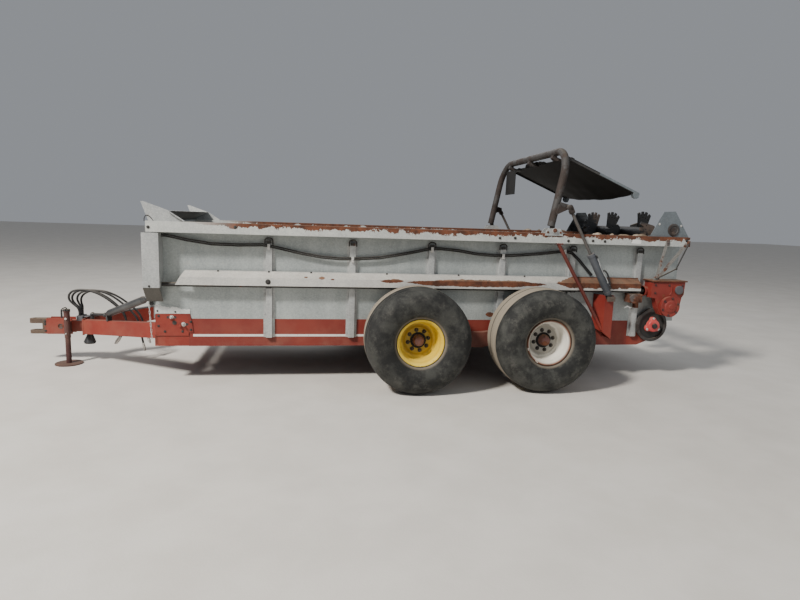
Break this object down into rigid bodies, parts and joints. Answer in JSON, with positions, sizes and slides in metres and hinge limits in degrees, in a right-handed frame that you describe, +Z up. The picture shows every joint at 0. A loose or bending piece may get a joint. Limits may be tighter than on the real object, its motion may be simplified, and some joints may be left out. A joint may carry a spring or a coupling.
{
  "type": "manure spreader",
  "caption": "Towed tandem-axle box manure spreader with moving-slat floor, two rear beaters, lifting rear gate on an arch, side drive line, drawbar, drive shaft, hoses and parking stand.",
  "frame": {"origin": "ground level on the centreline, midway between the hitch's nose and the rearmost tips of the lower beater", "axes": "+X to the rear, -X to the hitch, +Y to the right-hand side, +Z up"},
  "size_m": [7.2038, 3.016, 2.4794],
  "materials": {
    "red_paint": "faded red paint with rust and dust",
    "dark_red_paint": "dark red-brown paint",
    "wall_sheet": "weathered grey sheet, dull",
    "galvanized": "weathered galvanized sheet with rust patches",
    "grey_cast": "dull grey casting",
    "dark_steel": "dark greasy steel",
    "rusty_steel": "rusted steel",
    "black_steel": "worn black paint",
    "tyre": "dusty tyre rubber",
    "yellow_paint": "worn yellow paint with dust",
    "white_paint": "worn white paint with rust",
    "grey_paint": "dark grey paint",
    "rod_steel": "dulled rod with rust",
    "hose_rubber": "black hose rubber",
    "bright_steel": "bright plated steel"
  },
  "bodies": {
    "chassis": {"sills": "red_paint", "cross_members": "red_paint", "front_bolster": "red_paint", "shaft_plates": "red_paint", "tongue_beam_left": "red_paint", "tongue_beam_right": "red_paint", "hitch": "red_paint", "jack_sleeve": "dark_red_paint", "wall_left": "wall_sheet", "wall_right": "wall_sheet", "front_wall": "wall_sheet", "floor": "wall_sheet", "top_rails": "galvanized", "stakes_left": "galvanized", "stakes_right": "galvanized", "front_splash_guard": "galvanized", "shaft_cover": "galvanized", "front_drive_shield": "galvanized", "front_gearcase": "grey_cast", "side_shaft": "dark_steel", "pto_shaft": "dark_steel", "apron": "rusty_steel", "apron_shafts": "dark_steel", "apron_gearbox": "rusty_steel", "main_gearbox": "red_paint", "lower_bearing": "red_paint", "beater_guards": "galvanized", "tandem_beams": "red_paint", "gate_brackets": "galvanized", "cylinder_posts": "red_paint", "rear_struts": "galvanized", "feed_lines": "grey_paint", "side_lines": "hose_rubber", "safety_chain": "bright_steel", "hose_1": "hose_rubber", "hose_2": "hose_rubber", "hose_3": "hose_rubber", "hose_4": "hose_rubber", "hose_couplers": "bright_steel"},
    "jack_leg": {"jack_leg": "dark_red_paint"},
    "gate": {"gate_arch": "rusty_steel", "gate_panel": "black_steel"},
    "upper_beater": {"upper_beater": "black_steel"},
    "lower_beater": {"lower_beater": "black_steel"},
    "wheel_left_front": {"tyre_left_front": "tyre", "rim_left_front": "yellow_paint"},
    "wheel_left_rear": {"tyre_left_rear": "tyre", "rim_left_rear": "white_paint"},
    "barrel_left": {"barrel_left": "grey_paint"},
    "rod_left": {"rod_left": "rod_steel"},
    "wheel_right_front": {"tyre_right_front": "tyre", "rim_right_front": "yellow_paint"},
    "wheel_right_rear": {"tyre_right_rear": "tyre", "rim_right_rear": "white_paint"},
    "barrel_right": {"barrel_right": "grey_paint"},
    "rod_right": {"rod_right": "rod_steel"}
  },
  "joints": [
    {"name": "gate_hinge", "type": "hinge", "parent": "chassis", "child": "gate", "pos_m": [1.868, 0, 1.61], "axis": [0, 1, 0], "range_deg": [0, 66]},
    {"name": "barrel_left_pin", "type": "hinge", "parent": "chassis", "child": "barrel_left", "pos_m": [2.526, -1.075, 0.92], "axis": [0, 1, 0], "range_deg": [-0.5, 0]},
    {"name": "rod_left_stroke", "type": "slide", "parent": "barrel_left", "child": "rod_left", "axis": [-0.4937, 0, 0.8696], "range_m": [-0.2982, 0]},
    {"name": "wheel_left_front_spin", "type": "hinge", "parent": "chassis", "child": "wheel_left_front", "pos_m": [0.428, -1.235, 0.518], "axis": [0, 1, 0], "continuous": true},
    {"name": "wheel_left_rear_spin", "type": "hinge", "parent": "chassis", "child": "wheel_left_rear", "pos_m": [1.713, -1.235, 0.518], "axis": [0, 1, 0], "continuous": true},
    {"name": "barrel_right_pin", "type": "hinge", "parent": "chassis", "child": "barrel_right", "pos_m": [2.526, 1.075, 0.92], "axis": [0, 1, 0], "range_deg": [-0.5, 0]},
    {"name": "rod_right_stroke", "type": "slide", "parent": "barrel_right", "child": "rod_right", "axis": [-0.4937, 0, 0.8696], "range_m": [-0.2982, 0]},
    {"name": "wheel_right_front_spin", "type": "hinge", "parent": "chassis", "child": "wheel_right_front", "pos_m": [0.428, 1.235, 0.518], "axis": [0, 1, 0], "continuous": true},
    {"name": "wheel_right_rear_spin", "type": "hinge", "parent": "chassis", "child": "wheel_right_rear", "pos_m": [1.713, 1.235, 0.518], "axis": [0, 1, 0], "continuous": true},
    {"name": "upper_beater_spin", "type": "hinge", "parent": "chassis", "child": "upper_beater", "pos_m": [3.24, 0, 1.612], "axis": [0, 1, 0], "continuous": true},
    {"name": "lower_beater_spin", "type": "hinge", "parent": "chassis", "child": "lower_beater", "pos_m": [3.333, 0, 1.013], "axis": [0, 1, 0], "continuous": true},
    {"name": "jack_lift", "type": "slide", "parent": "chassis", "child": "jack_leg", "axis": [0, 0, 1], "range_m": [0, 0.2]}
  ],
  "couplings": [
    {"joint": "barrel_left_pin", "follows": "gate_hinge", "ratio": -0.006},
    {"joint": "rod_left_stroke", "follows": "gate_hinge", "m_per_rad": -0.25805},
    {"joint": "barrel_right_pin", "follows": "gate_hinge", "ratio": -0.006},
    {"joint": "rod_right_stroke", "follows": "gate_hinge", "m_per_rad": -0.25805}
  ]
}
